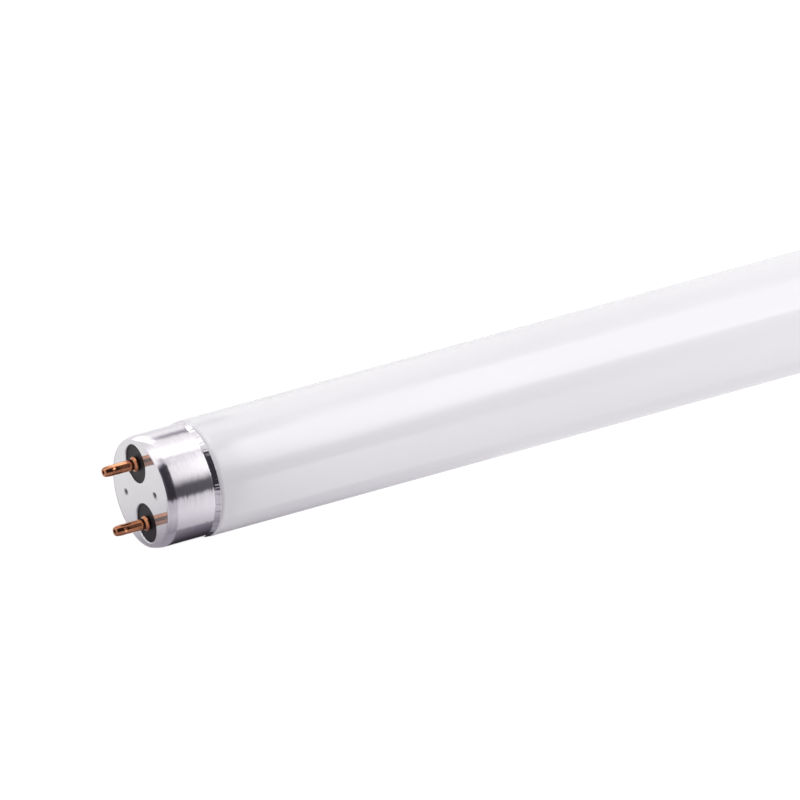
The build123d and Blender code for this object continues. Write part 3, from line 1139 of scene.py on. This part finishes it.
@dataclass(frozen=True)
class Card:
    """A studio card that reaches along X, with its light graded from point to point.

    Its lines all run along X, each at its own place. The columns give a profile for each X, and a
    profile gives the radiance at some places. Between them the radiance changes evenly. The slant moves
    a line along X by that share of its Y. Dim light is a little violet.
    """

    name: str
    seen: Seen
    places: Array
    columns: dict[float, Profile]
    slant: float = field(default=0.0, kw_only=True)
    dim_range: ClassVar[Pair] = (0.1, 0.9)

    def lines(self) -> Array:
        """Y and Z of the card's lines."""
        raise NotImplementedError

    def build(self) -> None:
        """Makes the card: the point in row i and column j lies at (x j + slant times y i, y i, z i), and
        has its own glow.
        """
        lines = self.lines()
        shape = (len(lines), len(self.columns))
        y = np.broadcast_to(lines[:, :1], shape)
        z = np.broadcast_to(lines[:, 1:], shape)
        grid = np.stack([np.array(list(self.columns)) + self.slant * y, y, z], axis=-1)
        first = (np.arange(shape[0] - 1)[:, None] * shape[1] + np.arange(shape[1] - 1)).ravel()
        faces = np.stack([first, first + 1, first + 1 + shape[1], first + shape[1]], axis=-1)
        recipe = Recipe(self.name)
        level = recipe.attribute(GLOW_MAP)
        colour = recipe.tint(level, DIM_LIGHT, WHITE, *self.dim_range)
        light = recipe.add("ShaderNodeEmission", {"Color": colour, "Strength": level})
        mesh = bpy.data.meshes.new(self.name)
        mesh.from_pydata(grid.reshape(-1, 3).tolist(), [], faces.tolist())
        levels = [np.interp(self.places, list(part), list(part.values())) for part in self.columns.values()]
        values = mesh.attributes.new(GLOW_MAP, "FLOAT", "POINT")
        values.data.foreach_set("value", np.stack(levels, axis=-1).astype(np.float32).ravel())
        card = linked(self.name, mesh, recipe.end(light))
        card.visible_camera = False
        card.visible_transmission = False
        card.visible_shadow = self.seen is not Seen.MIRROR
        card.visible_diffuse = self.seen is not Seen.MIRROR
        card.visible_glossy = self.seen is not Seen.SHADE


@dataclass(frozen=True)
class Arch(Card):
    """A card bent round the tube's axis. Its places are angles from +Y through +Z to -Y, in degrees."""

    distance: float = 0.6

    def lines(self) -> Array:
        """At angle a, Y is the distance times cos a and Z is the distance times sin a."""
        angle = np.radians(self.places)
        return self.distance * np.stack([np.cos(angle), np.sin(angle)], axis=-1)


@dataclass(frozen=True)
class Runner(Card):
    """A card that lies on the floor. Its places are the lines' Y."""

    lift: float = 0.1 * MM

    def lines(self) -> Array:
        """Every line lies just above the floor."""
        return np.stack([self.places, np.full(len(self.places), cad_low.z + self.lift)], axis=-1)


def softbox() -> Card:
    """The arch of light over the tube. Each stretch of X is what one part of the tube mirrors.

    Returns:
        The card.
    """
    open_end = {-1: 1.3, 107: 1.2, 112: 0.6, 140: 0.7, 181: 0.45}
    room = {-1: 1.3, 30: 1.2, 42: 0.15, 107: 0.1, 112: 0.6, 140: 0.7, 181: 0.45}
    corner = {-1: 1.4, 32: 1.2, 42: 0.05, 107: 0.04, 112: 0.6, 140: 0.66, 165: 0.45, 181: 0.3}
    brow = {20: 1.4, 25: 0.7, 32: 0.7, 39: 0.06, 107: 0.04, 112: 0.6, 140: 0.7, 181: 0.32}
    pins = {17: 3.2, 24: 0.9, 29: 0.15, 36: 0.04, 112: 0.03, 119: 0.35, 128: 0.55}
    skirt = {
        18: 0.75, 24: 0.35, 31: 0.2, 37: 0.6, 43: 1.7, 60: 1.7, 68: 1.3, 75: 0.75, 82: 0.1, 90: 0.04,
        107: 0.03, 111: 0.4, 116: 0.55, 130: 0.58, 149: 0.56, 160: 0.45, 170: 0.34, 181: 0.27,
    }
    neck = {
        -1: 0.8, 20: 0.6, 24: 0.7, 29: 1.7, 34: 3.0, 45: 3.2, 56: 3.0, 68: 2.5, 79: 1.4, 86: 0.1,
        107: 0.05, 111: 1.2, 116: 1.4, 140: 1.4, 168: 1.0, 181: 0.9,
    }
    near = {
        -1: 1.2, 10: 1.3, 18: 1.9, 26: 2.5, 32: 2.9, 60: 3.2, 68: 3.1, 74: 2.8, 80: 2.0, 87: 0.3,
        107: 0.2, 111: 1.5, 116: 1.7, 150: 1.7, 168: 1.4, 181: 1.3,
    }
    body = {
        -1: 0.8, 14: 0.9, 20: 2.5, 32: 2.6, 44: 3.0, 56: 3.2, 68: 3.1, 72: 2.7, 79: 0.8, 88: 0.6,
        107: 0.6, 111: 1.4, 126: 1.5, 140: 1.7, 168: 1.4, 181: 1.5,
    }
    far = {
        -1: 0.75, 12: 0.8, 18: 1.75, 32: 1.9, 44: 2.05, 56: 2.15, 68: 2.8, 72: 2.8, 78: 0.9, 107: 0.9,
        113: 1.25, 126: 1.5, 140: 1.65, 168: 1.5, 181: 1.5,
    }
    columns = {
        -0.9: open_end, -0.74: open_end, -0.7: room, -0.46: room, -0.42: corner, -0.22: brow,
        -0.017: brow, -0.0145: pins, -0.0015: pins, 0.001: skirt, 0.0065: skirt, 0.0095: neck, 0.03: near,
        0.08: body, 0.15: far, 0.9: far,
    }
    return Arch("softbox_arch", Seen.LIGHT, np.linspace(-1.2, 181.2, 121), columns)


def room_fill() -> Card:
    """Light from before the cap, which falls on the glass and isn't mirrored in the metal.

    Returns:
        The card.
    """
    level = {25: 1.3, 42: 0.55, 107: 0.5}
    columns = {-0.9: level, -0.1: level}
    return Arch("room_fill", Seen.SHADE, np.linspace(-1.2, 107.0, 40), columns, distance=0.59)


def end_flag() -> Card:
    """A small dark screen beside the lower side of the tube's end, which only takes light from the glass.

    Returns:
        The card.
    """
    level = {90: 0.0, 112: 0.3, 130: 0.8, 145: 0.8, 162: 0.4, 200: 0.1}
    columns = {-0.32: level, -0.275: level}
    return Arch("end_flag", Seen.SHADE, np.linspace(90.0, 200.0, 12), columns, distance=0.027)


def lower_sheen() -> Card:
    """What the tube's lower side mirrors of the floor.

    Returns:
        The card.
    """
    pins = {-0.6: 0.45, -0.02: 0.4}
    skirt = {-0.6: 0.34, -0.107: 0.22, -0.048: 0.12, -0.026: 0.03}
    glass = {-0.6: 0.9, -0.026: 0.8, -0.02: 0.7}
    columns = {-0.6: pins, -0.2945: pins, -0.2935: skirt, -0.2745: skirt, -0.215: glass}
    return Runner("lower_sheen", Seen.MIRROR, -np.geomspace(0.6, 0.02, 50), columns, slant=-0.45)


def upper_sheen() -> Card:
    """What the tube's upper side mirrors of the floor, with the dark seam between floor and softbox.

    Returns:
        The card.
    """
    brow = {0.05: 0.9, 0.13: 1.1, 0.6: 1.3}
    pins = {0.02: 1.8, 0.03: 3.2, 0.045: 3.2, 0.055: 1.3, 0.6: 1.4}
    skirt = {
        0.02: 1.1, 0.027: 1.02, 0.031: 0.65, 0.0345: 0.38, 0.038: 0.38, 0.043: 0.7, 0.05: 1.0, 0.06: 1.08,
        0.127: 1.22, 0.6: 1.3,
    }
    near = {0.02: 1.3, 0.05: 1.25, 0.13: 1.5}
    far = {0.02: 1.0, 0.05: 0.75, 0.13: 0.6, 0.6: 0.7}
    columns = {
        -0.9: brow, -0.306: brow, -0.3035: pins, -0.2945: pins, -0.2935: skirt, -0.2765: skirt,
        -0.2735: near, -0.25: near, -0.19: far, 0.3: far,
    }
    return Runner("upper_sheen", Seen.MIRROR, np.geomspace(0.02, 0.6, 70), columns, slant=0.45)


def face_sheen() -> Card:
    """What the flat face of the cap mirrors of the floor in front of it, darker below.

    Returns:
        The card.
    """
    face = {-0.016: 0.3, -0.0124: 0.38, -0.009: 0.7, -0.005: 0.85, 0.002: 0.95}
    columns = {-0.34: face, -0.2945: face}
    return Runner("face_sheen", Seen.MIRROR, np.linspace(-0.0195, 0.0195, 27), columns)


@dataclass
class Studio:
    """Floor, cards, room light and camera."""

    cards: tuple[Card, ...]
    floor_reach: float = 20.0
    floor_white: float = 1.14
    floor_seen: float = 0.82
    floor_mirrored: float = 0.55
    floor_paint: Colour = (0.86, 0.86, 0.86)
    room_light: float = 1.05
    camera_distance: float = 6.9
    pixels_per_metre: float = 4808.0
    image_width: float = 800.0
    face_pixel: Pair = (140.4, 494.0)
    right: Vector = field(default_factory=lambda: Vector((0.8657, -0.1835, 0.4658)))
    up: Vector = field(default_factory=lambda: Vector((0.2387, 0.9689, -0.0621)))
    sensor_width: float = 36.0
    clip_start: float = 0.1
    clip_end: float = 100.0

    def floor(self) -> None:
        """A pale floor under the tube: white where the camera or a mirror sees it, with its shadow."""
        reach = self.floor_reach
        corners = ((-reach, -reach), (reach, -reach), (reach, reach), (-reach, reach))
        points = [(x, y, cad_low.z) for x, y in corners]
        recipe = Recipe("floor_white")
        rays = recipe.add("ShaderNodeLightPath", {}).outputs
        camera = recipe.number("MULTIPLY", rays["Is Camera Ray"], self.floor_seen)
        through = recipe.number("MULTIPLY", rays["Is Transmission Ray"], self.floor_seen)
        mirrored = recipe.number("MULTIPLY", rays["Is Glossy Ray"], self.floor_mirrored)
        share = recipe.number("MAXIMUM", recipe.number("MAXIMUM", camera, through), mirrored)
        paint = recipe.add("ShaderNodeBsdfDiffuse", {"Color": (*self.floor_paint, 1.0)})
        glow = recipe.add("ShaderNodeEmission", {"Strength": self.floor_white})
        mixed = recipe.add("ShaderNodeMixShader", {0: share, 1: paint.outputs[0], 2: glow.outputs[0]})
        mesh = bpy.data.meshes.new("floor")
        mesh.from_pydata(points, [], [(0, 1, 2, 3)])
        floor = linked("floor", mesh, recipe.end(mixed))

    def world(self) -> None:
        """Even room light, white where the camera sees it."""
        world = bpy.data.worlds.new("room")
        bpy.context.scene.world = world
        world.use_nodes = True
        nodes = Nodes(world.node_tree)
        rays = nodes.add("ShaderNodeLightPath", {}).outputs
        strength = nodes.number("MAXIMUM", self.room_light, rays["Is Camera Ray"])
        light = nodes.add("ShaderNodeBackground", {"Strength": strength})
        nodes.add("ShaderNodeOutputWorld", {"Surface": light.outputs[0]})

    def camera(self) -> None:
        """A long lens at the photo's viewing angle.

        The point at the middle of the image is the input face's centre, moved to the right and up by
        its distance from the middle in pixels, over the pixels per metre. The focal length is the
        sensor's width times the distance over the width that the image covers there.
        """
        back = self.right.cross(self.up).normalized()
        half = self.image_width / 2
        face = Vector((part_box("end_cap_input")[0].x, 0.0, 0.0))
        aim = face + self.right * ((half - self.face_pixel[0]) / self.pixels_per_metre)
        aim += self.up * ((self.face_pixel[1] - half) / self.pixels_per_metre)
        lens = bpy.data.cameras.new("camera")
        lens.sensor_width = self.sensor_width
        lens.lens = self.sensor_width * self.camera_distance * self.pixels_per_metre / self.image_width
        lens.clip_start = self.clip_start
        lens.clip_end = self.clip_end
        camera = bpy.data.objects.new("camera", lens)
        turn = Matrix((self.right, self.up, back)).transposed().to_4x4()
        camera.matrix_world = Matrix.Translation(aim + back * self.camera_distance) @ turn
        bpy.context.scene.collection.objects.link(camera)
        bpy.context.scene.camera = camera

    def build(self) -> None:
        """Sets up the studio."""
        self.floor()
        self.world()
        for card in self.cards:
            card.build()
        self.camera()
        bpy.context.scene.view_settings.view_transform = "Standard"


def main() -> None:
    """Builds every piece, dresses the nodes that are kept, and sets up the studio."""
    logging.basicConfig(level=logging.INFO, format="%(message)s")
    glass = OpalGlass("opal_glass", (0.893, 0.88, 0.898), 0.02).material()
    skirt = BrushedMetal(
        "cap_skirt", (0.775, 0.745, 0.785), 0.14, Grain.ROUND_TUBE, lean=0.028, anisotropy=0.4
    ).material()
    face = BrushedMetal(
        "cap_face", (0.8, 0.785, 0.805), 0.09, Grain.EVEN, mark_length=2.5 * MM, metallic=0.75
    ).material()
    copper = TurnedMetal("pin_copper", (0.62, 0.27, 0.14), 0.06, (0.42, 0.17, 0.09)).material()
    GlassPipe().build(glass)
    EndCap(End.INPUT, "end_cap_input").build(skirt, face)
    EndCap(End.FAR, "end_cap_far").build(skirt, face)
    for node in ("contact_pin_live", "contact_pin_neutral"):
        ContactPin(End.INPUT, node).build(copper)
    for node in ("contact_pin_far_left", "contact_pin_far_right"):
        ContactPin(End.FAR, node).build(copper)
    Inside().dress()
    Studio((softbox(), room_fill(), end_flag(), lower_sheen(), upper_sheen(), face_sheen())).build()


if __name__ == "__main__":
    main()
